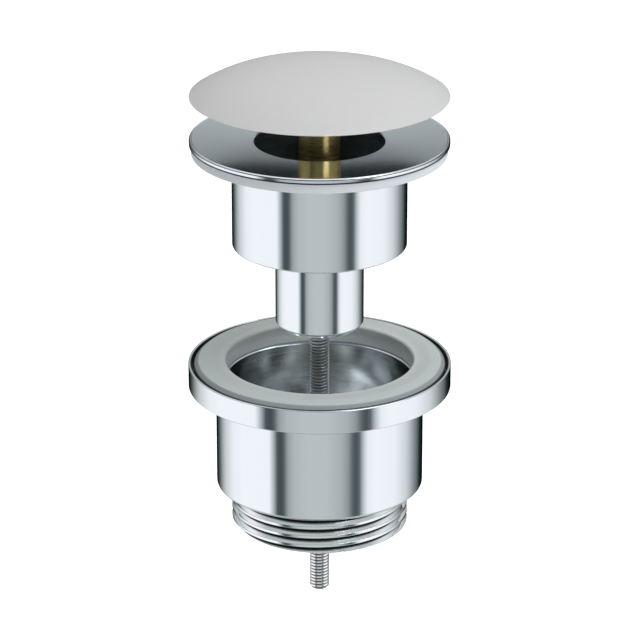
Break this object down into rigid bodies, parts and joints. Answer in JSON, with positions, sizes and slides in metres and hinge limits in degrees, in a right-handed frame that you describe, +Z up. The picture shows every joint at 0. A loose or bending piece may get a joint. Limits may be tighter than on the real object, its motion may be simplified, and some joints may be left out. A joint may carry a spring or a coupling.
{
  "type": "basin waste",
  "caption": "Push-to-open basin waste with a domed cap, dished flange and collar, clamped by a long central bolt to a threaded lower body with a rubber seal.",
  "frame": {"origin": "on the waste's axis, in the plane of the flange gasket's underside, where the basin's upper face lies", "axes": "+Z up along the waste's axis, from the outlet to the cap"},
  "size_m": [0.062, 0.062, 0.1317],
  "materials": {
    "satin_cap": "satin light grey, even",
    "polished_chrome": "polished chrome plate on brass",
    "turned_brass": "fine turned, uncoated",
    "bright_steel": "bright stainless, rolled thread",
    "pale_gasket": "soft pale foam rubber, matt",
    "grey_rubber": "moulded grey rubber, matt",
    "black_rubber": "black sealing rubber, matt",
    "fibre": "pressed red fibre, matt",
    "white_plastic": "moulded acetal, matt",
    "grey_plastic": "moulded acetal, matt",
    "spring_steel": "drawn stainless wire"
  },
  "bodies": {
    "waste": {"upper_body": "polished_chrome", "flange_gasket": "pale_gasket", "centre_sleeve": "polished_chrome", "sleeve_washer": "fibre", "sleeve_nut": "turned_brass", "cartridge_housing": "grey_plastic", "cartridge_end_cap": "grey_plastic", "cartridge_seal": "black_rubber", "rod_o_ring": "black_rubber", "return_spring": "spring_steel", "bolt_o_ring": "black_rubber"},
    "plug": {"cap_cover": "satin_cap", "cap_carrier": "grey_plastic", "cap_insert": "turned_brass", "cap_seal": "black_rubber", "push_rod": "turned_brass", "cam_pusher": "white_plastic", "cam_rotor": "white_plastic"},
    "bolt": {"clamp_bolt": "bright_steel", "bolt_washer": "bright_steel"},
    "clamp": {"lower_body": "polished_chrome", "lower_seal": "grey_rubber", "bolt_bush": "turned_brass"}
  },
  "joints": [
    {"name": "plug_press", "type": "slide", "parent": "waste", "child": "plug", "axis": [0, 0, 1], "range_m": [-0.0096, 0], "stiffness_N_per_m": 600, "springref_m": 0.012, "deforming": ["return_spring"]},
    {"name": "bolt_turn", "type": "hinge", "parent": "waste", "child": "bolt", "pos_m": [0, 0, -0.0385], "axis": [0, 0, 1], "range_deg": [-18370, 8650]},
    {"name": "clamp_slide", "type": "slide", "parent": "waste", "child": "clamp", "axis": [0, 0, 1], "range_m": [-0.0192, 0.0408]}
  ],
  "couplings": [
    {"joint": "bolt_turn", "follows": "clamp_slide", "rad_per_m": -7854}
  ]
}
